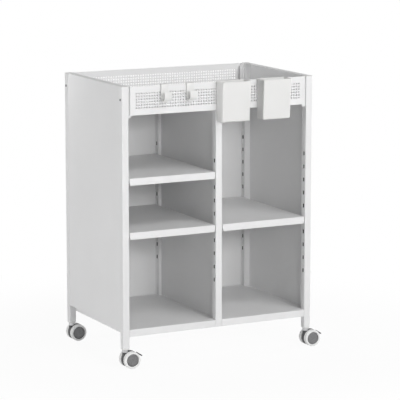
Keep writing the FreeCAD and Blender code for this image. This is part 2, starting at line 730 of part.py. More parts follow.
def make_lever(label, x, y):
    """Make the brake lever: a barrel on its pin, an arm out of the notch and a pedal that slopes down."""
    pivot_x = f"({x} + dims.caster_trail + dims.lever_pivot_x)"
    pivot_z = f"({WHEEL_Z} + dims.lever_pivot_z)"
    width = "(dims.lever_notch_width - 2 * dims.lever_side_clearance)"
    barrel = across_axle(pivot_x, y, "dims.lever_barrel / 2", width, pivot_z)
    pin = across_axle(pivot_x, y, "dims.lever_pin_diameter / 2", "dims.hood_width", pivot_z)
    rise = "dims.lever_arm_angle * 1 deg"
    slope = "-dims.lever_pedal_slope * 1 deg"
    thickness = "dims.lever_arm_thickness"
    arm = sloped_bar(pivot_x, pivot_z, y, "dims.lever_arm_length", width, thickness, rise)
    end_x = f"({pivot_x} + (dims.lever_arm_length - {thickness} / 2) * cos({rise}))"
    end_z = f"({pivot_z} + (dims.lever_arm_length - {thickness} / 2) * sin({rise}))"
    pedal_size = ("dims.lever_pedal_length", "dims.lever_pedal_width")
    pedal = sloped_bar(end_x, end_z, y, *pedal_size, thickness, slope)
    keep(fuse(barrel, pin, arm, pedal), label)


def circular_edge(radius):
    """Return a test for the round edges of one radius."""
    def wanted(edge):
        return isinstance(edge.Curve, Part.Circle) and abs(edge.Curve.Radius - radius) < 1e-6
    return wanted


def wheel_body(name, x, y, outward):
    """Add a body whose own Z runs out along the axle from the wheel's inner face."""
    body = doc.addObject("PartDesign::Body", name)
    turn = FreeCAD.Rotation(FreeCAD.Vector(1, 0, 0), -90 * outward)
    body.Placement = FreeCAD.Placement(FreeCAD.Vector(), turn)
    place(body, x, f"{y} + {outward} * dims.wheel_gap / 2", WHEEL_Z)
    return body


def make_wheel(prefix, x, y, outward):
    """Make one wheel of a pair: a tyre with rounded edges round a bevelled hub with a blind bore."""
    axle_x = f"({x} + dims.caster_trail)"
    body = wheel_body(f"{prefix}_tyre", axle_x, y, outward)
    section = new_sketch(body, "XY_Plane")
    add_circle(section, "dims.wheel_diameter / 2")
    add_circle(section, "dims.hub_diameter / 2")
    ring = pad(body, section, "dims.wheel_width")
    round_edges(body, ring, "dims.tyre_edge", circular_edge(sheet.wheel_diameter / 2))
    keep(body, f"{prefix}_tyre")
    body = wheel_body(f"{prefix}_hub", axle_x, y, outward)
    section = new_sketch(body, "XY_Plane")
    add_circle(section, "dims.hub_diameter / 2")
    pad(body, section, "dims.wheel_width - dims.hub_bevel_depth")
    bevel = body.newObject("PartDesign::AdditiveCone", "bevel")
    bevel.setExpression("Radius1", "dims.hub_diameter / 2")
    bevel.setExpression("Radius2", "dims.hub_diameter / 2 - dims.hub_bevel")
    bevel.setExpression("Height", "dims.hub_bevel_depth")
    bevel.setExpression("Placement.Base.z", "dims.wheel_width - dims.hub_bevel_depth")
    doc.recompute()
    bore = new_sketch(body, "XY_Plane")
    add_circle(bore, "dims.axle_diameter / 2 + dims.running_clearance")
    pocket(body, bore, "dims.wheel_width - dims.hub_face", reverse=True)
    keep(body, f"{prefix}_hub")


def make_casters():
    """Make the four casters. Only the front pair has brakes."""
    axle_length = (
        "(dims.wheel_gap + 2 * (dims.wheel_width - dims.hub_face - dims.stem_clearance))"
    )
    for end, y_sign in ENDS.items():
        for side, x_sign in SIDES.items():
            corner = f"{end}_{side}"
            x = f"({x_sign} * {POST_AXIS_X})"
            y = f"({y_sign} * {POST_AXIS_Y})"
            make_hood(f"{corner}_caster_hood", x, y, braked=end == "front")
            axle = across_axle(f"{x} + dims.caster_trail", y, "dims.axle_diameter / 2", axle_length)
            keep(axle, f"{corner}_axle")
            for name, outward in (("front", -1), ("rear", 1)):
                make_wheel(f"{corner}_{name}_wheel", x, y, outward)
            if end == "front":
                make_lever(f"{corner}_brake_lever", x, y)


def tapered_box(name, inset, low, high):
    """Add a body that narrows towards its foot. Its own Y runs up and its own Z towards the front."""
    body = doc.addObject("PartDesign::Body", name)
    body.Placement = FreeCAD.Placement(FreeCAD.Vector(), FreeCAD.Rotation(FreeCAD.Vector(1, 0, 0), 90))
    wedge = body.newObject("PartDesign::AdditiveWedge", "wedge")
    wedge.setExpression("Ymin", low)
    wedge.setExpression("Ymax", high)
    for mark, height in (("", low), ("2", high)):
        taper = f"(dims.cup_height - ({height})) / dims.cup_height"
        half = f"(dims.cup_width / 2 - {inset} - dims.cup_side_taper * {taper})"
        wedge.setExpression(f"X{mark}min", f"-{half}")
        wedge.setExpression(f"X{mark}max", half)
        wedge.setExpression(f"Z{mark}min", inset)
        wedge.setExpression(f"Z{mark}max", f"dims.cup_depth - {inset} - dims.cup_front_taper * {taper}")
    doc.recompute()
    return body, wedge


def rising_edge(edge):
    """Tell whether an edge of a cup rises from its foot to its rim."""
    ends = [vertex.Point for vertex in edge.Vertexes]
    return abs(ends[0].y - ends[1].y) > sheet.cup_height / 2


def foot_edge(low):
    """Return a test for the edges round the foot of a cup."""
    def wanted(edge):
        return all(abs(vertex.Point.y - low) < 1e-6 for vertex in edge.Vertexes)
    return wanted


def make_cup(label, x):
    """Make a cup with tapered walls, and the hook behind it that hangs over the rail."""
    outer, solid = tapered_box("cup_outside", "0", "0", "dims.cup_height")
    solid = round_edges(outer, solid, "dims.cup_corner", rising_edge)
    round_edges(outer, solid, "dims.cup_foot_corner", foot_edge(0))
    rim = "dims.cup_height + dims.cup_wall"
    inner, hollow = tapered_box("cup_inside", "dims.cup_wall", "dims.cup_wall", rim)
    hollow = round_edges(inner, hollow, "dims.cup_corner - dims.cup_wall", rising_edge)
    round_edges(inner, hollow, "dims.cup_foot_corner - dims.cup_wall", foot_edge(sheet.cup_wall))
    back_y = f"(-{HALF_DEPTH} - dims.hang_clearance)"
    rim_z = f"({RAIL_TOP} + dims.hang_clearance + dims.cup_hook_plate)"
    for body in (outer, inner):
        place(body, x, back_y, f"{rim_z} - dims.cup_height")
    across = (f"{x} - dims.cup_hook_width / 2", f"{x} + dims.cup_hook_width / 2")
    slot_y = f"(-{HALF_DEPTH} + dims.rail_sheet + dims.hang_clearance)"
    bridge_y = (f"{back_y} - dims.cup_wall", f"{slot_y} + dims.cup_hook_plate")
    bridge = block(across, bridge_y, (f"{rim_z} - dims.cup_hook_plate", rim_z))
    tongue_y = (slot_y, f"{slot_y} + dims.cup_hook_plate")
    tongue = block(across, tongue_y, (f"{rim_z} - dims.cup_hook_drop", rim_z))
    keep(fuse(cut(outer, inner), bridge, tongue), label)


def make_hook(label, x):
    """Make a J-shaped hook of bent plate that hangs over the rail, with a rib that bears on it."""
    across = (f"{x} - dims.hook_width / 2", f"{x} + dims.hook_width / 2")
    rib_y = f"(-{HALF_DEPTH} - dims.hang_clearance)"
    back_y = f"({rib_y} - dims.hook_rib)"
    front_y = f"({rib_y} - dims.hook_depth)"
    top = f"({RAIL_TOP} + dims.hang_clearance + dims.hook_plate)"
    radius = "((dims.hook_depth - dims.hook_rib) / 2)"
    axis_y = f"({back_y} - {radius})"
    axis_z = f"({top} - dims.hook_height + {radius})"
    back = block(across, (f"{back_y} - dims.hook_plate", back_y), (axis_z, top))
    rib_x = (f"{x} - dims.hook_rib_width / 2", f"{x} + dims.hook_rib_width / 2")
    rib = block(rib_x, (back_y, rib_y), (axis_z, top))
    lip_top = f"({top} - dims.hook_height + dims.hook_lip)"
    lip = block(across, (front_y, f"{front_y} + dims.hook_plate"), (axis_z, lip_top))
    start = (across[0], axis_y, axis_z)
    round_foot = cut(
        rod(start, radius, "dims.hook_width", "x"),
        rod(start, f"{radius} - dims.hook_plate", "dims.hook_width", "x"),
    )
    upper_half = block(across, (front_y, back_y), (axis_z, f"{axis_z} + {radius}"))
    slot_y = f"(-{HALF_DEPTH} + dims.rail_sheet + dims.hang_clearance)"
    behind = (slot_y, f"{slot_y} + dims.hook_plate")
    tongue = block(across, behind, (f"{top} - dims.hook_back_drop", top))
    bridge = block(across, (f"{back_y} - dims.hook_plate", behind[1]), (f"{top} - dims.hook_plate", top))
    keep(fuse(cut(round_foot, upper_half), back, rib, lip, bridge, tongue), label)


def check(sub_parts):
    """Stop if any object failed to build or any sub-part has no valid shape."""
    failed = [obj.Label for obj in doc.Objects if {"Invalid", "Error"} & set(obj.State)]
    failed += [obj.Label for obj in sub_parts if obj.Shape.isNull() or not obj.Shape.isValid()]
    if failed:
        raise RuntimeError("failed to build: " + ", ".join(failed))


make_posts()
make_post_caps()
make_side_panels()
make_back_panels()
make_centre_wall()
make_bottom_shelves()
make_hung_shelves()
make_rail("front_rail", FRONT)
make_rail("rear_rail", REAR)
make_deck()
make_rail_brackets()
make_caster_mounts()
make_casters()
make_cup("left_cup", f"({RAIL_END_X} - dims.left_cup_setback)")
make_cup("right_cup", f"({RAIL_END_X} - dims.right_cup_setback)")
make_hook("left_hook", f"(dims.left_hook_setback - {RAIL_END_X})")
make_hook("right_hook", f"(dims.right_hook_setback - {RAIL_END_X})")

doc.recompute()
check(finished)
os.makedirs("parts", exist_ok=True)
for sub_part in finished:
    sub_part.Shape.exportStep(os.path.join("parts", f"{sub_part.Label}.step"))
print(f"{len(finished)} sub-parts written")
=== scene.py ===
"""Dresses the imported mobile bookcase: folded sheet, mouldings, casters, finishes, light and camera."""

import logging
import math
from dataclasses import dataclass, field
from enum import Enum
from typing import Any, Callable, Iterable, Sequence

import bmesh
import bpy
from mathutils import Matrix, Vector


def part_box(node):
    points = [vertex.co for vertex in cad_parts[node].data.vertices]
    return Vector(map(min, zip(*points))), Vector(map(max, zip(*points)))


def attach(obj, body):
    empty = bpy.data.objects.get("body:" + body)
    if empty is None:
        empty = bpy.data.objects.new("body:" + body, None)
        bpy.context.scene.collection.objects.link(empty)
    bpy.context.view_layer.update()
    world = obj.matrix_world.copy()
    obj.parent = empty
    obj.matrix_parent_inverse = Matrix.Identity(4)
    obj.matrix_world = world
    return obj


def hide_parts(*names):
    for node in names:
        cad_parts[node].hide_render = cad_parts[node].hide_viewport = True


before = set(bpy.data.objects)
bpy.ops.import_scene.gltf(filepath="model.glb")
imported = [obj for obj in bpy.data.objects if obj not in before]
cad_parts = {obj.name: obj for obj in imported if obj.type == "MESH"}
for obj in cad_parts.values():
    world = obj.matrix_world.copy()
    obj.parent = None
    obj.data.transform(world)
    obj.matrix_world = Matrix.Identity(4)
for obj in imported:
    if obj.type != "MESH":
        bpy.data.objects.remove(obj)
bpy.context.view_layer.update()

Piece = bpy.types.Object
Colour = tuple[float, float, float]
Outline = Sequence[tuple[float, float]]
Tree = bpy.types.NodeTree
Node = bpy.types.Node
Socket = bpy.types.NodeSocket

LOG = logging.getLogger("bookcase")
MM = 0.001
TOUCH = 1e-6  # Metres within which two places count as one.
SMOOTH_ANGLE = math.radians(34)
SHARP_ANGLE = math.radians(63)
FACING = 0.9  # The share of a normal along a direction from which a face looks that way.
ASIDE = 0.5  # The share below which a direction is across rather than along.
NOISE_SPAN = (0.3, 0.7)  # Where nearly all of a noise pattern lies.
RANGE_ENDS = ("From_Min", "From_Max", "To_Min", "To_Max")
WHITE = (1, 1, 1, 1)


class Slot(Enum):
    """The record's material slots."""

    CASE_PAINT = "case_paint"
    WHITE_PLASTIC = "white_plastic"
    GREY_PLASTIC = "grey_plastic"
    DARK_PLASTIC = "dark_plastic"
    WHITE_TYRE = "white_tyre"
    ZINC_STEEL = "zinc_steel"


class Element(Enum):
    """What a selection is made of."""

    POINT = "VERT"
    EDGE = "EDGE"
    FACE = "FACE"


class Side(Enum):
    """The side of a folded sheet that is left open, as a direction."""

    LEFT = (-1, 0, 0)
    RIGHT = (1, 0, 0)
    FRONT = (0, -1, 0)
    BELOW = (0, 0, -1)


class Mix(Enum):
    """How one solid is worked into another."""

    JOIN = "UNION"
    TAKE_AWAY = "DIFFERENCE"
    KEEP_SHARED = "INTERSECT"


def give(tree: Tree, socket: Socket, given: Any) -> None:
    """Set an input to a value, or link it to an output.

    Args:
        tree: The nodes.
        socket: The input.
        given: The value or the output.
    """
    if isinstance(given, Socket):
        tree.links.new(given, socket)
    else:
        socket.default_value = given


def add_node(tree: Tree, kind: str, **inputs: Any) -> Node:
    """Add a shader node and fill its inputs.

    Args:
        tree: The nodes.
        kind: The node's type, without its prefix.
        **inputs: The inputs by name, with _ for a space.

    Returns:
        The node.
    """
    node = tree.nodes.new(f"ShaderNode{kind}")
    for name, given in inputs.items():
        give(tree, node.inputs[name.replace("_", " ")], given)
    return node


def figure(tree: Tree, operation: str, *terms: Any) -> Socket:
    """Add a sum with one or two terms.

    Args:
        tree: The nodes.
        operation: The kind of sum.
        *terms: The terms, each an output or a number.

    Returns:
        The result.
    """
    node = tree.nodes.new("ShaderNodeMath")
    node.operation = operation
    for socket, term in zip(node.inputs, terms):
        give(tree, socket, term)
    return node.outputs["Value"]


@dataclass(frozen=True)
class Finish:
    """A surface finish with fine colour mottling, uneven gloss and a shallow grain.

    Attributes:
        slot: The record's slot that the finish belongs to.
        colour: The middle of the base colour, linear.
        spread: The share by which the colour goes up and down.
        mottle: Patches of colour per metre.
        gloss: The lowest and highest roughness.
        grain: Grains per metre.
        relief: The height of the grain in metres.
        metallic: 1 for bare metal, otherwise 0.
        stretch: How far the grain is drawn out along X, Y and Z.
        mark: What tells the finish from others of its slot.
        strength: How strongly the grain turns the light.
        finer: How many times finer the gloss drifts than the colour.
        layers: The number of finer layers in colour, gloss and grain.
    """

    slot: Slot
    colour: Colour
    spread: float
    mottle: float
    gloss: tuple[float, float]
    grain: float
    relief: float
    metallic: float = 0.0
    stretch: Colour = (1.0, 1.0, 1.0)
    mark: str = ""
    strength: float = 0.6
    finer: float = 6.0
    layers: tuple[float, float, float] = (4.0, 3.0, 2.0)

    def name(self) -> str:
        """Return the material's name."""
        return f"finish_{self.slot.value}{self.mark}"

    def material(self) -> bpy.types.Material:
        """Return the finish's node material, made on first use.

        Returns:
            The material.
        """
        found = bpy.data.materials.get(self.name())
        if found:
            return found
        made = bpy.data.materials.new(self.name())
        made.use_nodes = True
        tree = made.node_tree
        place = add_node(tree, "TexCoord").outputs["Object"]
        drawn = add_node(tree, "Mapping", Vector=place, Scale=self.stretch).outputs["Vector"]
        drift = self._noise(tree, drawn, self.mottle * self.finer, self.layers[1])
        gloss = add_node(tree, "MapRange", Value=drift, **dict(zip(RANGE_ENDS, NOISE_SPAN + self.gloss)))
        grain = self._noise(tree, drawn, self.grain, self.layers[2])
        relief = add_node(tree, "Bump", Height=grain, Strength=self.strength, Distance=self.relief)
        settings = {
            "Metallic": self.metallic,
            "Base Color": self._colour(tree, place),
            "Roughness": gloss.outputs["Result"],
            "Normal": relief.outputs["Normal"],
        }
        shader = tree.nodes["Principled BSDF"]
        for name, given in settings.items():
            give(tree, shader.inputs[name], given)
        return made

    def _noise(self, tree: Tree, vector: Socket, scale: float, detail: float) -> Socket:
        """Add a noise pattern.

        Args:
            tree: The material's nodes.
            vector: The coordinates.
            scale: Features per metre.
            detail: The number of finer layers.

        Returns:
            The pattern.
        """
        return add_node(tree, "TexNoise", Vector=vector, Scale=scale, Detail=detail).outputs["Fac"]

    def _mottling(self, tree: Tree, place: Socket) -> Socket:
        """Return the pattern that the colour follows.

        Args:
            tree: The material's nodes.
            place: The coordinates.

        Returns:
            The pattern.
        """
        return self._noise(tree, place, self.mottle, self.layers[0])

    def _colour(self, tree: Tree, place: Socket) -> Socket:
        """Mottle the base colour.

        Args:
            tree: The material's nodes.
            place: The coordinates.

        Returns:
            The colour.
        """
        ramp = add_node(tree, "ValToRGB", Fac=self._mottling(tree, place))
        shares = (1 - self.spread, 1 + self.spread)
        for element, share, position in zip(ramp.color_ramp.elements, shares, NOISE_SPAN):
            element.position = position
            element.color = (*(min(1.0, part * share) for part in self.colour), 1.0)
        return ramp.outputs["Color"]

    def coats(self, piece: Piece) -> None:
        """Put the finish on a piece, as its only material.

        Args:
            piece: The piece or CAD node.
        """
        piece.data.materials.clear()
        piece.data.materials.append(self.material())


@dataclass(frozen=True)
class ShadedBoreFinish(Finish):
    """The finish of the square posts, with a near-black painted shade inside their bores.

    Attributes:
        bore_shade: The near-black colour painted inside the bores as the shade in the hollow posts, linear.
        axis_x: How far the corner posts' axes are from the middle along X. The centre posts' are on it.
        axis_y: How far every post's axis is from the middle along Y.
        bore_half: The distance from a post's axis, along X or Y, at which the paint begins.
        shade_end: The mottling below which the painted shade shows.
    """

    # Painted shade: a near-black colour inside the hollow posts, where only shade falls.
    bore_shade: Colour = (0.012, 0.012, 0.013)
    axis_x: float = 290 * MM
    axis_y: float = 185 * MM
    bore_half: float = 9.3 * MM
    shade_end: float = 0.05

    def name(self) -> str:
        """Return the material's name."""
        return f"{super().name()}_tube"

    def _colour(self, tree: Tree, place: Socket) -> Socket:
        """Mottle the paint outside and paint the bores near-black as shade.

        Args:
            tree: The material's nodes.
            place: The coordinates.

        Returns:
            The colour.
        """
        colour = super()._colour(tree, place)
        stops = colour.node.color_ramp.elements
        darkest_paint = stops[0].color[:]
        stops.new(self.shade_end).color = darkest_paint
        # The bores, where the pattern is 0, get the near-black painted shade.
        stops.new(0.0).color = (*self.bore_shade, 1.0)
        return colour

    def _mottling(self, tree: Tree, place: Socket) -> Socket:
        """Return the paint's pattern, which is 0 in the bores.

        Args:
            tree: The material's nodes.
            place: The coordinates.

        Returns:
            The pattern.
        """
        parts = add_node(tree, "SeparateXYZ", Vector=place).outputs
        across = figure(tree, "ABSOLUTE", parts["X"])
        along = figure(tree, "ABSOLUTE", parts["Y"])
        to_corner = figure(tree, "ABSOLUTE", figure(tree, "SUBTRACT", across, self.axis_x))
        to_end = figure(tree, "ABSOLUTE", figure(tree, "SUBTRACT", along, self.axis_y))
        nearest = figure(tree, "MINIMUM", across, to_corner)
        reach = figure(tree, "MAXIMUM", nearest, to_end)
        outside = figure(tree, "GREATER_THAN", reach, self.bore_half)
        return figure(tree, "MULTIPLY", super()._mottling(tree, place), outside)


POWDER_COAT = Finish(Slot.CASE_PAINT, (0.83, 0.83, 0.832), 0.012, 7, (0.42, 0.52), 1500, 0.00004)
# The posts' coat, with painted shade in their bores.
POST_COAT = ShadedBoreFinish(Slot.CASE_PAINT, (0.83, 0.83, 0.832), 0.012, 7, (0.42, 0.52), 1500, 0.00004)
MOULDED_WHITE = Finish(Slot.WHITE_PLASTIC, (0.79, 0.788, 0.778), 0.012, 14, (0.36, 0.46), 2600, 0.00002)
MOULDED_GREY = Finish(Slot.GREY_PLASTIC, (0.2, 0.2, 0.203), 0.05, 60, (0.24, 0.34), 3000, 0.00002)
MOULDED_DARK = Finish(Slot.DARK_PLASTIC, (0.066, 0.066, 0.069), 0.08, 60, (0.36, 0.5), 3000, 0.00002)
PALE_RUBBER = Finish(Slot.WHITE_TYRE, (0.9, 0.9, 0.895), 0.03, 90, (0.5, 0.64), 2200, 0.00004)
BRIGHT_ZINC = Finish(
    Slot.ZINC_STEEL, (0.5, 0.5, 0.51), 0.06, 70, (0.3, 0.42), 1800, 0.00002,
    metallic=1.0, stretch=(1, 1, 0.12),
)
SCREW_ZINC = Finish(
    Slot.ZINC_STEEL, (0.15, 0.15, 0.155), 0.08, 70, (0.34, 0.46), 1800, 0.00002,
    metallic=1.0, mark="_screw",
)


class Bench:
    """Blender's modelling operators, used as by hand on one piece at a time."""

    @staticmethod
    def begin(piece: Piece | None = None) -> None:
        """Leave edit mode, deselect everything and make one piece active.

        Args:
            piece: The piece to work on, if there is one yet.
        """
        active = bpy.context.view_layer.objects.active
        if active and active.mode != "OBJECT":
            bpy.ops.object.mode_set(mode="OBJECT")
        bpy.ops.object.select_all(action="DESELECT")
        if piece:
            piece.select_set(True)
            bpy.context.view_layer.objects.active = piece

    @staticmethod
    def named(name: str) -> Piece:
        """Name the primitive that was just added, put its place in its mesh and return it.

        Args:
            name: The piece's name.

        Returns:
            The piece.
        """
        piece = bpy.context.object
        piece.name = name
        piece.data.name = name
        bpy.ops.object.transform_apply(location=True, rotation=True, scale=True)
        return piece

    @staticmethod
    def block(name: str, low: Vector, high: Vector) -> Piece:
        """Add a cube between two corners.

        Args:
            name: The piece's name.
            low: The lowest corner.
            high: The highest corner.

        Returns:
            The piece.
        """
        Bench.begin()
        bpy.ops.mesh.primitive_cube_add(size=1.0, location=(low + high) / 2, scale=high - low)
        return Bench.named(name)

    @staticmethod
    def pick(piece: Piece, kind: Element, wanted: Callable[[Any], bool]) -> int:
        """Enter edit mode and select the points, edges or faces that a test picks out.

        Args:
            piece: The piece.
            kind: What to select.
            wanted: The test.

        Returns:
            How many were selected.
        """
        Bench.begin(piece)
        bpy.ops.object.mode_set(mode="EDIT")
        bpy.ops.mesh.select_mode(type=kind.value)
        bpy.ops.mesh.select_all(action="DESELECT")
        shape = bmesh.from_edit_mesh(piece.data)
        groups = {Element.POINT: shape.verts, Element.EDGE: shape.edges, Element.FACE: shape.faces}
        shape.normal_update()
        chosen = [item for item in groups[kind] if wanted(item)]
        for item in chosen:
            item.select_set(True)
        shape.select_flush_mode()
        bmesh.update_edit_mesh(piece.data)
        return len(chosen)

    @staticmethod
    def round_edges(piece: Piece, radius: float, steps: int, wanted: Callable[[Any], bool]) -> None:
        """Round the edges that a test picks out.

        Args:
            piece: The piece.
            radius: The radius of the rounding.
            steps: The number of faces across it.
            wanted: The test.
        """
        if Bench.pick(piece, Element.EDGE, wanted):
            bpy.ops.mesh.bevel(offset=radius, segments=steps, profile=0.5, affect="EDGES")
        Bench.begin(piece)

    @staticmethod
    def modify(piece: Piece, kind: str, **settings: Any) -> None:
        """Add a modifier, set it and apply it.

        Args:
            piece: The piece.
            kind: The modifier's type.
            **settings: Its settings.
        """
        Bench.begin(piece)
        modifier = piece.modifiers.new(kind.lower(), kind)
        for name, setting in settings.items():
            setattr(modifier, name, setting)
        bpy.ops.object.modifier_apply(modifier=modifier.name)

    @staticmethod
    def work_in(piece: Piece, tool: Piece, how: Mix) -> None:
        """Join a second solid to a piece, take it away or keep what both share, then remove it.

        Args:
            piece: The piece.
            tool: The second solid.
            how: How the two are combined.
        """
        Bench.modify(piece, "BOOLEAN", operation=how.value, object=tool, solver="EXACT")
        bpy.data.objects.remove(tool)

    @staticmethod
    def thicken(piece: Piece, wall: float) -> None:
        """Give a sheet its thickness, inwards from the modelled surface.

        Args:
            piece: The sheet.
            wall: Its thickness.
        """
        Bench.modify(piece, "SOLIDIFY", thickness=wall, offset=-1.0, use_even_offset=True)

    @staticmethod
    def tidy_normals(piece: Piece) -> None:
        """Merge doubled points and turn every face outwards.

        Args:
            piece: The piece.
        """
        Bench.begin(piece)
        bpy.ops.object.mode_set(mode="EDIT")
        bpy.ops.mesh.select_all(action="SELECT")
        bpy.ops.mesh.remove_doubles(threshold=TOUCH)
        bpy.ops.mesh.normals_make_consistent(inside=False)
        Bench.begin(piece)

    @staticmethod
    def turn_outline(name: str, outline: Outline, centre: Vector, axis: Vector, steps: int) -> Piece:
        """Spin an outline about an axis, as on a lathe.

        Args:
            name: The piece's name.
            outline: Points as (radius, distance along the axis). It starts and ends on the axis, or closes.
            centre: The point on the axis where the distance is 0.
            axis: The direction of the axis.
            steps: The number of faces round the axis.

        Returns:
            The piece.
        """
        outward = Vector((0, 0, 1)) if abs(axis.z) < ASIDE else Vector((1, 0, 0))
        points = [centre + outward * radius + axis * along for radius, along in outline]
        Bench.begin()
        bpy.ops.mesh.primitive_plane_add(size=MM, location=points[0])
        piece = Bench.named(name)
        bpy.ops.object.mode_set(mode="EDIT")
        bpy.ops.mesh.select_mode(type=Element.POINT.value)
        bpy.ops.mesh.select_all(action="SELECT")
        bpy.ops.mesh.merge(type="CENTER")
        for before, after in zip(points, points[1:]):
            bpy.ops.mesh.extrude_vertices_move(TRANSFORM_OT_translate={"value": after - before})
        bpy.ops.mesh.select_all(action="SELECT")
        bpy.ops.mesh.spin(steps=steps, angle=2 * math.pi, center=centre, axis=axis)
        Bench.tidy_normals(piece)
        return piece

    @staticmethod
    def copy_to(piece: Piece, name: str, shift: Vector) -> Piece:
        """Copy a piece with its own mesh and move the copy.

        Args:
            piece: The piece.
            name: The copy's name.
            shift: How far the copy moves.

        Returns:
            The copy.
        """
        Bench.begin(piece)
        bpy.ops.object.duplicate(linked=False)
        bpy.context.object.location = shift
        return Bench.named(name)

    @staticmethod
    def merge(name: str, pieces: list[Piece]) -> Piece:
        """Make several pieces one object of separate shells.

        Args:
            name: The object's name.
            pieces: The pieces.

        Returns:
            The object.
        """
        Bench.begin(pieces[0])
        for piece in pieces:
            piece.select_set(True)
        bpy.ops.object.join()
        return Bench.named(name)


def fit(piece: Piece, body: str, finish: Finish, nodes: Iterable[str]) -> None:
    """Smooth and coat a finished piece, and put it in the frame.

    Args:
        piece: The piece.
        body: The CAD body that it moves with.
        finish: Its finish.
        nodes: The CAD nodes that it stands for.
    """
    Bench.begin(piece)
    bpy.ops.object.shade_smooth_by_angle(angle=SMOOTH_ANGLE)
    finish.coats(piece)
    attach(piece, body)
    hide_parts(*nodes)
    LOG.info("%s rides on %s", piece.name, body)


def rise_of(edge: Any) -> float:
    """Return how far one end of an edge is above the other."""
    return abs(edge.verts[0].co.z - edge.verts[1].co.z)


def is_level_at(edge: Any, height: float) -> bool:
    """Tell whether both ends of an edge are at a height."""
    return all(abs(point.co.z - height) < TOUCH for point in edge.verts)


def post_axis() -> Vector:
    """Return the axis of the right rear post, where it meets the floor."""
    low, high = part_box("right_rear_post")
    return Vector(((low.x + high.x) / 2, (low.y + high.y) / 2, 0))


@dataclass
class FoldedSheet:
    """A pan of folded sheet steel with rounded bends.

    Attributes:
        node: The CAD node that it stands for.
        body: The CAD body that it moves with.
        open_side: The side that has no sheet.
        flange: The height of the side flanges where the front lip hangs lower, or 0.
        wall: The thickness of the sheet.
        bend: The outer radius of the bends.
        bend_steps: The number of faces across a bend.
    """

    node: str
    body: str
    open_side: Side
    flange: float = 0.0
    wall: float = 1.2 * MM
    bend: float = 1.9 * MM
    bend_steps: int = 4

    def build(self) -> None:
        """Model the pan and dress it."""
        low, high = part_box(self.node)
        lip_foot = low.z
        if self.flange:
            low.z = high.z - self.flange
        sheet = Bench.block(f"sheet_{self.node}", low, high)
        facing = Vector(self.open_side.value)
        Bench.pick(sheet, Element.FACE, lambda face: face.normal.dot(facing) > FACING)
        bpy.ops.mesh.delete(type="FACE")
        Bench.round_edges(sheet, self.bend, self.bend_steps, lambda edge: not edge.is_boundary)
        if self.flange:
            self._hang_lip(sheet, low, lip_foot)
        Bench.thicken(sheet, self.wall)
        fit(sheet, self.body, POWDER_COAT, [self.node])

    def _hang_lip(self, sheet: Piece, low: Vector, lip_foot: float) -> None:
        """Draw the front lip down below the side flanges.

        Args:
            sheet: The pan.
            low: Its lowest corner.
            lip_foot: The height of the lip's lower edge.
        """
        def at_front_foot(edge: Any) -> bool:
            """Tell whether an edge is the front wall's lower edge."""
            return all(max(abs(p.co.y - low.y), abs(p.co.z - low.z)) < TOUCH for p in edge.verts)

        Bench.pick(sheet, Element.EDGE, at_front_foot)
        drop = Vector((0, 0, lip_foot - low.z))
        bpy.ops.mesh.extrude_edges_move(TRANSFORM_OT_translate={"value": drop})
        Bench.begin(sheet)


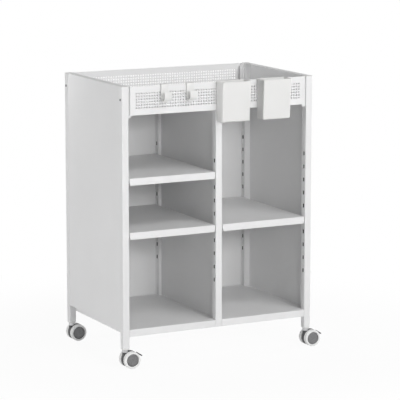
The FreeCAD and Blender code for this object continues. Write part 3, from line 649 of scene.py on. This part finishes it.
@dataclass
class Case:
    """The steel case: folded sheet, and the CAD posts, rails and fittings in their finishes."""

    shelf_flange: float = 14 * MM
    cap_edge: float = 0.6 * MM
    cap_edge_steps: int = 3
    cap_corner: float = 2 * MM
    cap_corner_steps: int = 5
    lid_height: float = 1.5 * MM
    screw_radius: float = 3.5 * MM
    screw_height: float = 1.5 * MM
    screw_dome: tuple[tuple[float, float], ...] = ((1, 0.35), (0.86, 0.72), (0.5, 0.95))
    screw_steps: int = 32
    cross_long: float = 1.7 * MM
    cross_short: float = 0.4 * MM
    cross_deep: float = 0.9 * MM
    fixed_sheets: tuple[tuple[str, Side], ...] = (
        ("left_side_panel", Side.RIGHT), ("right_side_panel", Side.LEFT),
        ("left_back_panel", Side.FRONT), ("right_back_panel", Side.FRONT),
        ("left_bottom_shelf", Side.BELOW), ("right_bottom_shelf", Side.BELOW),
    )
    shelves: tuple[str, ...] = ("left_upper_shelf", "left_lower_shelf", "right_shelf")
    finishes: tuple[tuple[tuple[str, ...], Finish], ...] = (
        (("_post",), POST_COAT),
        (("_divider", "_beam", "_rail", "top_deck", "rail_brackets"), POWDER_COAT),
        (("_axle", "shelf_clips", "caster_stems", "caster_necks"), BRIGHT_ZINC),
        (("caster_sockets",), MOULDED_WHITE),
    )

    def build(self) -> None:
        """Model the folded sheet, caps and screws, and coat the nodes that stay."""
        for name, open_side in self.fixed_sheets:
            FoldedSheet(name, "case", open_side).build()
        for name in self.shelves:
            FoldedSheet(name, name, Side.BELOW, flange=self.shelf_flange).build()
        self._caps()
        self._screws()
        for name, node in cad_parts.items():
            for endings, finish in self.finishes:
                if name.endswith(endings):
                    finish.coats(node)

    def _caps(self) -> None:
        """Model the lids on the corner posts, with eased edges."""
        low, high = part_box("post_caps")
        width = 2 * (high.x - post_axis().x)
        lid_low = Vector((low.x, low.y, high.z - self.lid_height))
        lid = Bench.block("lid", lid_low, Vector((low.x + width, low.y + width, high.z)))
        Bench.round_edges(lid, self.cap_corner, self.cap_corner_steps, lambda edge: rise_of(edge) > TOUCH)
        top = high.z
        Bench.round_edges(lid, self.cap_edge, self.cap_edge_steps, lambda edge: is_level_at(edge, top))
        span = Vector((high.x - low.x - width, high.y - low.y - width, 0))
        shifts = [Vector((span.x, 0, 0)), Vector((0, span.y, 0)), span]
        lids = [lid] + [Bench.copy_to(lid, "lid_copy", shift) for shift in shifts]
        fit(Bench.merge("post_lids", lids), "case", MOULDED_WHITE, ["post_caps"])

    def _screws(self) -> None:
        """Model the domed screw heads on the posts, each with a cross recess."""
        low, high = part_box("rail_screws")
        radius = self.screw_radius
        height = self.screw_height
        axis_z = (low.z + high.z) / 2
        dome = [(radius * across, height * up) for across, up in self.screw_dome]
        outline = [(0, 0), (radius, 0)] + dome + [(0, height)]
        heads = []
        for sign, face in ((-1, low.x + height), (1, high.x - height)):
            for y in (low.y + radius, high.y - radius):
                centre = Vector((face, y, axis_z))
                head = Bench.turn_outline("head", outline, centre, Vector((sign, 0, 0)), self.screw_steps)
                self._cross_recess(head, centre + Vector((sign * height, 0, 0)))
                heads.append(head)
        fit(Bench.merge("screw_heads", heads), "case", SCREW_ZINC, ["rail_screws"])

    def _cross_recess(self, head: Piece, top: Vector) -> None:
        """Sink a cross into a screw head.

        Args:
            head: The head.
            top: The middle of its dome.
        """
        sides = (self.cross_long, self.cross_short)
        for along_y, along_z in (sides, sides[::-1]):
            reach = Vector((self.cross_deep, along_y, along_z))
            Bench.work_in(head, Bench.block("cross", top - reach, top + reach), Mix.TAKE_AWAY)


@dataclass
class Wheel:
    """One wheel of a caster: a pale tyre round a grey hub with a bevelled rim.

    Attributes:
        radius: The tyre's outer radius.
        seat: The radius where tyre and hub meet.
        width: The width of both.
        shoulder: The rounding of the tyre's edges.
        rim_wide: The width of the hub's bevelled rim.
        rim_deep: Its depth.
        crown: How far the hub's face stands out at its middle.
        play: The gap between hub and tyre.
        groove: The depth of the tread's two grooves, and half their width.
        groove_inset: How far they are from the shoulders.
        bead: The outline of the raised bead, as (distance from the seat, distance below the face).
        face: The outline of the hub's face, as (share of its radius, share of the crown below the middle).
        shoulder_steps: The number of faces across a shoulder.
        steps: The number of faces round the axle.
    """

    radius: float = 23.99 * MM
    seat: float = 18.25 * MM
    width: float = 15 * MM
    shoulder: float = 3 * MM
    rim_wide: float = 3.4 * MM
    rim_deep: float = 2.7 * MM
    crown: float = 0.25 * MM
    play: float = 0.05 * MM
    groove: float = 0.6 * MM
    groove_inset: float = 1.2 * MM
    bead: tuple[tuple[float, float], ...] = (
        (1.9 * MM, 0.0), (1.6 * MM, 0.3 * MM), (0.5 * MM, 0.3 * MM), (0.0, 0.7 * MM),
    )
    face: tuple[tuple[float, float], ...] = ((1, 1), (1 / 2, 1 / 4), (1 / 4, 1 / 12), (0, 0))
    shoulder_steps: int = 6
    steps: int = 96

    def _arc(self, along: float, start: float) -> list[tuple[float, float]]:
        """Return the points of one rounded shoulder.

        Args:
            along: Where its middle is on the axle.
            start: The angle from the tread at which it starts, in degrees.

        Returns:
            The points as (radius, along).
        """
        middle = self.radius - self.shoulder
        turn = 90 / self.shoulder_steps
        angles = [math.radians(start + step * turn) for step in range(self.shoulder_steps + 1)]
        return [(middle + self.shoulder * math.cos(a), along + self.shoulder * math.sin(a)) for a in angles]

    def tyre(self) -> Outline:
        """Outline a tyre with a raised bead and a fine groove beside each shoulder.

        Returns:
            Points as (radius, distance from the inner face).
        """
        near = self._arc(self.shoulder, -90)
        far = self._arc(self.width - self.shoulder, 0)
        edge = self.shoulder + self.groove_inset
        tread = []
        for along in (edge, self.width - edge):
            for fall, shift in ((0, -self.groove), (self.groove, 0), (0, self.groove)):
                tread.append((self.radius - fall, along + shift))
        bead = [(self.seat + out, self.width - below) for out, below in self.bead]
        return [(self.seat, 0.0)] + near + tread + far + bead + [(self.seat, 0.0)]

    def hub(self) -> Outline:
        """Outline a hub with a wide bevelled rim and a slightly crowned face.

        Returns:
            Points as (radius, distance from the inner face).
        """
        rim = self.seat - self.play
        flat = rim - self.rim_wide
        face = [(flat * out, self.width - self.crown * below) for out, below in self.face]
        return [(0.0, 0.0), (rim, 0.0), (rim, self.width - self.crown - self.rim_deep)] + face


@dataclass
class Casters:
    """The four twin-wheel casters and the brake levers of the front pair."""

    wheel: Wheel = field(default_factory=Wheel)
    corners: tuple[str, ...] = ("front_left", "front_right", "rear_left", "rear_right")
    hood_radius: float = 24.49 * MM
    hood_half: float = 6 * MM
    hood_foot: float = 8 * MM
    hood_ease: float = 1.2 * MM
    hood_ease_share: float = 0.3
    hood_steps: int = 96
    notch: tuple[float, float] = (11 * MM, 5.8 * MM)
    notch_half: float = 4 * MM
    boss_radius: float = 8.5 * MM
    boss_foot: float = 23 * MM
    boss_top: float = 45.2 * MM
    boss_ease: float = 0.6 * MM
    boss_steps: int = 48
    neck_room: float = 9.25 * MM
    axle_height: float = 24 * MM
    trail: float = 14 * MM
    gap_half: float = 7 * MM

    def stem(self, corner: str) -> Vector:
        """Return the point on the floor under a caster's stem.

        Args:
            corner: The caster's corner.

        Returns:
            The point.
        """
        axis = post_axis()
        end, side = corner.split("_")
        return Vector((axis.x if side == "right" else -axis.x, axis.y if end == "rear" else -axis.y, 0))

    def build(self) -> None:
        """Model each part of a wheel once and copy it to the other corners, then the hoods and levers."""
        home = self.stem(self.corners[0])
        axle = home + Vector((self.trail, 0, self.axle_height))
        parts = (("tyre", self.wheel.tyre(), PALE_RUBBER), ("hub", self.wheel.hub(), MOULDED_GREY))
        for which, sign in (("front", -1), ("rear", 1)):
            outward = Vector((0, sign, 0))
            inner = axle + outward * self.gap_half
            for part, outline, finish in parts:
                piece = Bench.turn_outline(part, outline, inner, outward, self.wheel.steps)
                self._spread(piece, f"{which}_wheel_{part}", finish, f"{which}_wheel")
        for corner in self.corners:
            stem = self.stem(corner)
            notched = corner.startswith("front")
            hood = self._hood(f"moulded_{corner}_hood", stem, axle + stem - home, notched)
            fit(hood, f"{corner}_caster", MOULDED_DARK, [f"{corner}_caster_hood"])
        Lever().build(axle, self.stem("front_right") - home)

    def _spread(self, piece: Piece, part: str, finish: Finish, body: str) -> None:
        """Copy a wheel's piece to every corner, and remove the first.

        Args:
            piece: The piece, at the first corner.
            part: The part's name after its corner.
            finish: Its finish.
            body: The body's name after its corner.
        """
        home = self.stem(self.corners[0])
        for corner in self.corners:
            made = Bench.copy_to(piece, f"moulded_{corner}_{part}", self.stem(corner) - home)
            fit(made, f"{corner}_{body}", finish, [f"{corner}_{part}"])
        bpy.data.objects.remove(piece)

    def _hood(self, name: str, stem: Vector, axle: Vector, notched: bool) -> Piece:
        """Model one hood: a rounded web cut flat below and cleared for the neck, and the boss on the stem.

        Args:
            name: The piece's name.
            stem: The floor under the stem.
            axle: The middle of the axle.
            notched: Whether a brake lever swings in it.

        Returns:
            The piece.
        """
        ease = self.hood_ease
        less = self.hood_ease_share * ease
        half = self.hood_half
        rim = self.hood_radius
        near = [(0, -half), (rim - ease, -half), (rim - less, less - half), (rim, ease - half)]
        far = [(radius, -along) for radius, along in reversed(near)]
        web = Bench.turn_outline(name, near + far, axle, Vector((0, 1, 0)), self.hood_steps)
        reach = Vector((2 * rim, 2 * rim, rim))
        below = Bench.block("below", stem - reach, stem + reach - Vector((0, 0, rim - self.hood_foot)))
        Bench.work_in(web, below, Mix.TAKE_AWAY)
        floor = self.boss_top - self.boss_ease
        wide = self.neck_room
        outline = [(0, floor), (wide, floor), (wide, floor + rim), (0, floor + rim)]
        room = Bench.turn_outline("room", outline, stem, Vector((0, 0, 1)), self.boss_steps)
        Bench.work_in(web, room, Mix.TAKE_AWAY)
        Bench.work_in(web, self._boss(stem), Mix.JOIN)
        if notched:
            low = axle + Vector((self.notch[0], -self.notch_half, self.notch[1]))
            cutter = Bench.block("notch", low, low + Vector((rim, 2 * self.notch_half, rim)))
            Bench.work_in(web, cutter, Mix.TAKE_AWAY)
        return web

    def _boss(self, stem: Vector) -> Piece:
        """Model the round boss, cut flat where the wheels pass.

        Args:
            stem: The floor under the stem.

        Returns:
            The boss.
        """
        top = self.boss_top
        radius = self.boss_radius
        outline = [(0, self.boss_foot), (radius, self.boss_foot), (radius, top - self.boss_ease),
                   (radius - self.boss_ease, top), (0, top)]
        boss = Bench.turn_outline("boss", outline, stem, Vector((0, 0, 1)), self.boss_steps)
        reach = Vector((2 * radius, self.hood_half, 0))
        between = Bench.block("between", stem - reach, stem + reach + Vector((0, 0, 2 * top)))
        Bench.work_in(boss, between, Mix.KEEP_SHARED)
        return boss


@dataclass
class Lever:
    """The brake levers: a barrel in the hood's notch, an arm and a pedal with grooves across its top."""

    pivot: tuple[float, float] = (16 * MM, 10.7 * MM)
    barrel: float = 3.2 * MM
    barrel_steps: int = 40
    width: float = 7.6 * MM
    thickness: float = 3.4 * MM
    arm: float = 9.5 * MM
    arm_angle: float = math.radians(35)
    pedal: float = 16 * MM
    pedal_width: float = 12 * MM
    pedal_slope: float = math.radians(32)
    grooves: int = 4
    groove_pitch: float = 2.6 * MM
    groove_half: float = 0.45 * MM
    groove_depth: float = 0.5 * MM
    ease: float = 0.7 * MM
    ease_steps: int = 3

    def build(self, axle: Vector, to_right: Vector) -> None:
        """Model the left lever and copy it to the right.

        Args:
            axle: The middle of the left front axle.
            to_right: From the left front caster to the right one.
        """
        pivot = axle + Vector((self.pivot[0], 0, self.pivot[1]))
        half = Vector((0, self.width / 2, 0))
        outline = [(0, 0), (self.barrel, 0), (self.barrel, self.width), (0, self.width)]
        lever = Bench.turn_outline("lever", outline, pivot - half, Vector((0, 1, 0)), self.barrel_steps)
        arm = self._bar("arm", self.arm, self.width)
        self._set(arm, pivot, self.arm_angle)
        Bench.work_in(lever, arm, Mix.JOIN)
        run = self.arm - self.thickness / 2
        end = pivot + Vector((run * math.cos(self.arm_angle), 0, run * math.sin(self.arm_angle)))
        pedal = self._bar("pedal", self.pedal, self.pedal_width)
        self._groove(pedal)
        self._set(pedal, end, -self.pedal_slope)
        Bench.work_in(lever, pedal, Mix.JOIN)
        right = Bench.copy_to(lever, "moulded_front_right_lever", to_right)
        lever.name = "moulded_front_left_lever"
        for piece, corner in ((lever, "front_left"), (right, "front_right")):
            fit(piece, f"{corner}_brake_lever", MOULDED_DARK, [f"{corner}_brake_lever"])

    def _bar(self, name: str, length: float, width: float) -> Piece:
        """Model a bar with eased edges that runs from the origin along X.

        Args:
            name: The bar's name.
            length: Its length.
            width: Its width.

        Returns:
            The bar.
        """
        half = Vector((0, width / 2, self.thickness / 2))
        bar = Bench.block(name, -half, Vector((length, 0, 0)) + half)
        Bench.round_edges(bar, self.ease, self.ease_steps, lambda edge: True)
        return bar

    def _groove(self, pedal: Piece) -> None:
        """Cut the grooves across the top of the pedal, from its free end.

        Args:
            pedal: The pedal, still along X.
        """
        top = self.thickness / 2
        for step in range(self.grooves):
            middle = Vector((self.pedal - self.groove_pitch * (step + 1), 0, top))
            reach = Vector((self.groove_half, self.pedal_width, self.groove_depth))
            Bench.work_in(pedal, Bench.block("groove", middle - reach, middle + reach), Mix.TAKE_AWAY)

    def _set(self, bar: Piece, start: Vector, rise: float) -> None:
        """Turn a bar to its angle above the floor and move its near end to a point.

        Args:
            bar: The bar, along X from the origin.
            start: The point.
            rise: The angle.
        """
        Bench.begin(bar)
        bar.rotation_euler = (0, -rise, 0)
        bar.location = start
        Bench.named(bar.name)


@dataclass
class Cups:
    """The two tapered cups that hang on the front rail."""

    names: tuple[str, str] = ("left_cup", "right_cup")
    depth: float = 47 * MM
    side_taper: float = 1.7 * MM
    front_taper: float = 9 * MM
    corner: float = 4.5 * MM
    corner_steps: int = 9
    foot: float = 4 * MM
    foot_steps: int = 6
    wall: float = 2 * MM
    rim: float = 0.7 * MM
    rim_steps: int = 3
    bridge_bite: float = 1.2 * MM
    tongue_ease: float = 0.6 * MM
    tongue_ease_steps: int = 3
    hook_half: float = 25 * MM
    hook_drop: float = 20 * MM

    def build(self) -> None:
        """Model the left cup and copy it to the right."""
        low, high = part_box(self.names[0])
        cup = self._shell(low, high)
        self._hang(cup, low, high)
        other_low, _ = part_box(self.names[1])
        right = Bench.copy_to(cup, "moulded_right_cup", other_low - low)
        for piece, name in zip((cup, right), self.names):
            fit(piece, name, MOULDED_WHITE, [name])

    def _shell(self, low: Vector, high: Vector) -> Piece:
        """Model the tapered wall with rounded corners, foot and rim.

        Args:
            low: The lowest corner of the CAD cup.
            high: Its highest corner.

        Returns:
            The shell.
        """
        back = low.y + self.depth
        cup = Bench.block("moulded_left_cup", low, Vector((high.x, back, high.z)))
        middle = (low.x + high.x) / 2
        taper_x = 1 - 2 * self.side_taper / (high.x - low.x)
        taper_y = 1 - self.front_taper / self.depth
        Bench.pick(cup, Element.FACE, lambda face: face.normal.z < -FACING)
        anchor = (middle, back, low.z)
        bpy.ops.transform.resize(value=(taper_x, taper_y, 1), center_override=anchor)
        Bench.pick(cup, Element.FACE, lambda face: face.normal.z > FACING)
        bpy.ops.mesh.delete(type="FACE")
        Bench.round_edges(cup, self.corner, self.corner_steps, lambda edge: rise_of(edge) > self.depth)
        Bench.round_edges(cup, self.foot, self.foot_steps, lambda edge: is_level_at(edge, low.z))
        Bench.thicken(cup, self.wall)
        top = high.z
        Bench.pick(cup, Element.POINT, lambda point: point.co.z > top - self.wall / 2)
        bpy.ops.transform.resize(value=(1, 1, 0), center_override=(middle, back, top))
        Bench.round_edges(cup, self.rim, self.rim_steps, lambda edge: self._on_rim(edge, top))
        return cup

    def _on_rim(self, edge: Any, top: float) -> bool:
        """Tell whether an edge runs round the rim, between its flat top and a wall."""
        return is_level_at(edge, top) and any(abs(face.normal.z) < ASIDE for face in edge.link_faces)

    def _hang(self, cup: Piece, low: Vector, high: Vector) -> None:
        """Add the bridge over the rail and the tongue behind it.

        Args:
            cup: The shell.
            low: The lowest corner of the CAD cup.
            high: Its highest corner.
        """
        middle = (low.x + high.x) / 2
        back = low.y + self.depth
        bridge_low = Vector((middle - self.hook_half, back - self.bridge_bite, high.z - self.wall))
        bridge = Bench.block("bridge", bridge_low, Vector((middle + self.hook_half, high.y, high.z)))
        tongue_low = Vector((middle - self.hook_half, high.y - self.wall, high.z - self.hook_drop))
        tongue = Bench.block("tongue", tongue_low, Vector((middle + self.hook_half, high.y, high.z)))
        Bench.work_in(bridge, tongue, Mix.JOIN)
        back_edge = high.y
        steps = self.tongue_ease_steps
        Bench.round_edges(bridge, self.tongue_ease, steps, lambda edge: self._outer_back(edge, back_edge))
        Bench.work_in(cup, bridge, Mix.JOIN)

    def _outer_back(self, edge: Any, back: float) -> bool:
        """Tell whether an edge outlines the tongue's back."""
        behind = all(abs(point.co.y - back) < TOUCH for point in edge.verts)
        return behind and len(edge.link_faces) == 2 and edge.calc_face_angle(0.0) > SHARP_ANGLE


@dataclass
class Hooks:
    """The two hooks of bent strip that hang on the front rail, each held off it by a rib."""

    names: tuple[str, str] = ("left_hook", "right_hook")
    wall: float = 2 * MM
    depth: float = 23.5 * MM
    lip: float = 26 * MM
    back_drop: float = 18 * MM
    rib: float = 3.5 * MM
    rib_half: float = 5 * MM
    bend_steps: int = 18
    ease: float = 0.5 * MM
    ease_steps: int = 3

    def build(self) -> None:
        """Model the left hook and copy it to the right."""
        low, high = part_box(self.names[0])
        hook = self._strip(low, high)
        other_low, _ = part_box(self.names[1])
        right = Bench.copy_to(hook, "moulded_right_hook", other_low - low)
        for piece, name in zip((hook, right), self.names):
            fit(piece, name, MOULDED_WHITE, [name])

    def _path(self, low: Vector, high: Vector) -> list[tuple[float, float]]:
        """Return the middle line of the strip as (Y, Z), from the tongue behind the rail to the lip.

        Args:
            low: The lowest corner of the CAD hook.
            high: Its highest corner.

        Returns:
            The points.
        """
        half = self.wall / 2
        radius = self.depth / 2 - half
        axis_y = low.y + self.depth / 2
        axis_z = low.z + self.depth / 2
        path = [(high.y - half, high.z - self.back_drop), (high.y - half, high.z - half)]
        path.append((axis_y + radius, high.z - half))
        for step in range(self.bend_steps + 1):
            angle = -math.pi * step / self.bend_steps
            path.append((axis_y + radius * math.cos(angle), axis_z + radius * math.sin(angle)))
        path.append((axis_y - radius, low.z + self.lip))
        return path

    def _strip(self, low: Vector, high: Vector) -> Piece:
        """Draw the strip along its middle line, thicken it, ease its edges and add the rib behind it.

        Args:
            low: The lowest corner of the CAD hook.
            high: Its highest corner.

        Returns:
            The strip.
        """
        path = [Vector((0, y, z)) for y, z in self._path(low, high)]
        Bench.begin()
        middle = Vector(((low.x + high.x) / 2, 0, 0))
        wide = high.x - low.x
        bpy.ops.mesh.primitive_plane_add(size=wide, location=middle + path[0])
        strip = Bench.named("moulded_left_hook")
        Bench.pick(strip, Element.POINT, lambda point: point.co.y > path[0].y)
        bpy.ops.mesh.delete(type="VERT")
        Bench.pick(strip, Element.EDGE, lambda edge: True)
        bpy.ops.transform.translate(value=(0, wide / 2, 0))
        for before, after in zip(path, path[1:]):
            bpy.ops.mesh.extrude_edges_move(TRANSFORM_OT_translate={"value": after - before})
        Bench.tidy_normals(strip)
        Bench.modify(strip, "SOLIDIFY", thickness=self.wall, offset=0.0, use_even_offset=True)
        steps = self.ease_steps
        Bench.round_edges(strip, self.ease, steps, lambda edge: edge.calc_face_angle(0.0) > SHARP_ANGLE)
        back = low.y + self.depth
        rib_low = Vector((middle.x - self.rib_half, back - self.wall / 2, low.z + self.depth / 2))
        rib_high = Vector((middle.x + self.rib_half, back + self.rib, high.z - self.wall / 2))
        Bench.work_in(strip, Bench.block("rib", rib_low, rib_high), Mix.JOIN)
        return strip


@dataclass(frozen=True)
class Lamp:
    """A soft rectangular lamp that faces the case.

    Attributes:
        name: The lamp's name.
        place: Where it hangs.
        wide: Its width.
        tall: Its height.
        power: Its power in watts.
    """

    name: str
    place: tuple[float, float, float]
    wide: float
    tall: float
    power: float


LAMPS = (
    Lamp("front", (0.0, -4.2, 1.5), 3.0, 0.8, 88.0),
    Lamp("above", (0.9, -2.6, 3.4), 2.0, 1.2, 34.0),
    Lamp("left", (-4.2, -0.2, 1.0), 1.3, 1.0, 56.0),
    Lamp("right", (4.2, 0.2, 1.0), 1.3, 1.0, 60.0),
    Lamp("back", (0.0, 4.2, 1.0), 1.6, 1.0, 78.0),
)


@dataclass
class Studio:
    """A white sweep, soft lamps and the camera at the photograph's angle."""

    azimuth: float = math.radians(-27.10)
    elevation: float = math.radians(9.95)
    distance: float = 6.199
    lens: float = 191.8
    sensor: float = 36.0
    target: Vector = field(default_factory=lambda: Vector((0.0396, 0.0, 0.4215)))
    world_light: float = 0.125
    clip_end: float = 100.0
    floor_size: float = 60.0
    floor_grey: float = 0.86
    floor_share: float = 0.94
    floor_near: float = 0.45
    floor_far: float = 1.1

    def build(self) -> None:
        """Make the floor, the world, the lamps and the camera."""
        self._floor()
        self._world()
        for lamp in LAMPS:
            self._hang(lamp)
        self._camera()
        bpy.context.scene.view_settings.view_transform = "Standard"

    def _is_seen(self, tree: Tree) -> Socket:
        """Return 1 for rays which show the background to the eye or in a reflection.

        Args:
            tree: The nodes to add to.

        Returns:
            The output.
        """
        path = add_node(tree, "LightPath").outputs
        first = figure(tree, "MAXIMUM", path["Is Camera Ray"], path["Is Glossy Ray"])
        return figure(tree, "MAXIMUM", first, path["Is Transmission Ray"])

    def _blend(self, tree: Tree, share: Socket, shaders: Sequence[Node], end: str) -> None:
        """Blend two shaders into an end node.

        Args:
            tree: The nodes.
            share: The second shader's share.
            shaders: The two shaders.
            end: The end node's name.
        """
        blend = add_node(tree, "MixShader", Fac=share)
        for socket, shader in zip(blend.inputs[1:], shaders):
            give(tree, socket, shader.outputs[0])
        give(tree, tree.nodes[end].inputs["Surface"], blend.outputs[0])

    def _floor(self) -> None:
        """Make a pale floor that is near white to the eye and still takes the shadow."""
        Bench.begin()
        bpy.ops.mesh.primitive_plane_add(size=self.floor_size, location=(0, 0, 0))
        floor = Bench.named("studio_floor")
        made = bpy.data.materials.new("studio_floor")
        made.use_nodes = True
        tree = made.node_tree
        tree.nodes.remove(tree.nodes["Principled BSDF"])
        matt = add_node(tree, "BsdfDiffuse", Color=(*[self.floor_grey] * 3, 1))
        away = add_node(tree, "VectorMath", Vector=add_node(tree, "TexCoord").outputs["Object"])
        away.operation = "LENGTH"
        ends = dict(zip(RANGE_ENDS, (self.floor_near, self.floor_far, self.floor_share)))
        fade = add_node(tree, "MapRange", Value=away.outputs["Value"], **ends)
        fade.interpolation_type = "SMOOTHSTEP"
        share = figure(tree, "MULTIPLY", self._is_seen(tree), fade.outputs["Result"])
        self._blend(tree, share, (matt, add_node(tree, "Emission")), "Material Output")
        floor.data.materials.append(made)

    def _world(self) -> None:
        """Light the object evenly from all round, and show white behind it."""
        world = bpy.data.worlds.new("studio")
        bpy.context.scene.world = world
        world.use_nodes = True
        tree = world.node_tree
        light = tree.nodes["Background"]
        light.inputs["Color"].default_value = WHITE
        light.inputs["Strength"].default_value = self.world_light
        shaders = (light, add_node(tree, "Background", Color=WHITE))
        self._blend(tree, self._is_seen(tree), shaders, "World Output")

    def _hang(self, lamp: Lamp) -> None:
        """Hang a lamp so that it faces the case.

        Args:
            lamp: The lamp.
        """
        data = bpy.data.lights.new(f"studio_{lamp.name}", "AREA")
        data.shape = "RECTANGLE"
        data.size = lamp.wide
        data.size_y = lamp.tall
        data.energy = lamp.power
        made = bpy.data.objects.new(f"studio_{lamp.name}", data)
        bpy.context.scene.collection.objects.link(made)
        made.location = lamp.place
        made.rotation_euler = (self.target - made.location).to_track_quat("-Z", "Y").to_euler()

    def _camera(self) -> None:
        """Set the camera at the photograph's viewing angle."""
        data = bpy.data.cameras.new("studio_camera")
        data.lens = self.lens
        data.sensor_width = self.sensor
        data.clip_end = self.clip_end
        camera = bpy.data.objects.new("studio_camera", data)
        bpy.context.scene.collection.objects.link(camera)
        level = math.cos(self.elevation)
        across, along = math.sin(self.azimuth), -math.cos(self.azimuth)
        back = Vector((across * level, along * level, math.sin(self.elevation)))
        camera.location = self.target + back * self.distance
        camera.rotation_euler = (-back).to_track_quat("-Z", "Y").to_euler()
        bpy.context.scene.camera = camera


def main() -> None:
    """Build the bookcase's pieces in order, then the studio."""
    logging.basicConfig(level=logging.INFO, format="%(message)s")
    for part in (Case(), Casters(), Cups(), Hooks(), Studio()):
        part.build()
        LOG.info("%s is done", type(part).__name__)


if __name__ == "__main__":
    main()
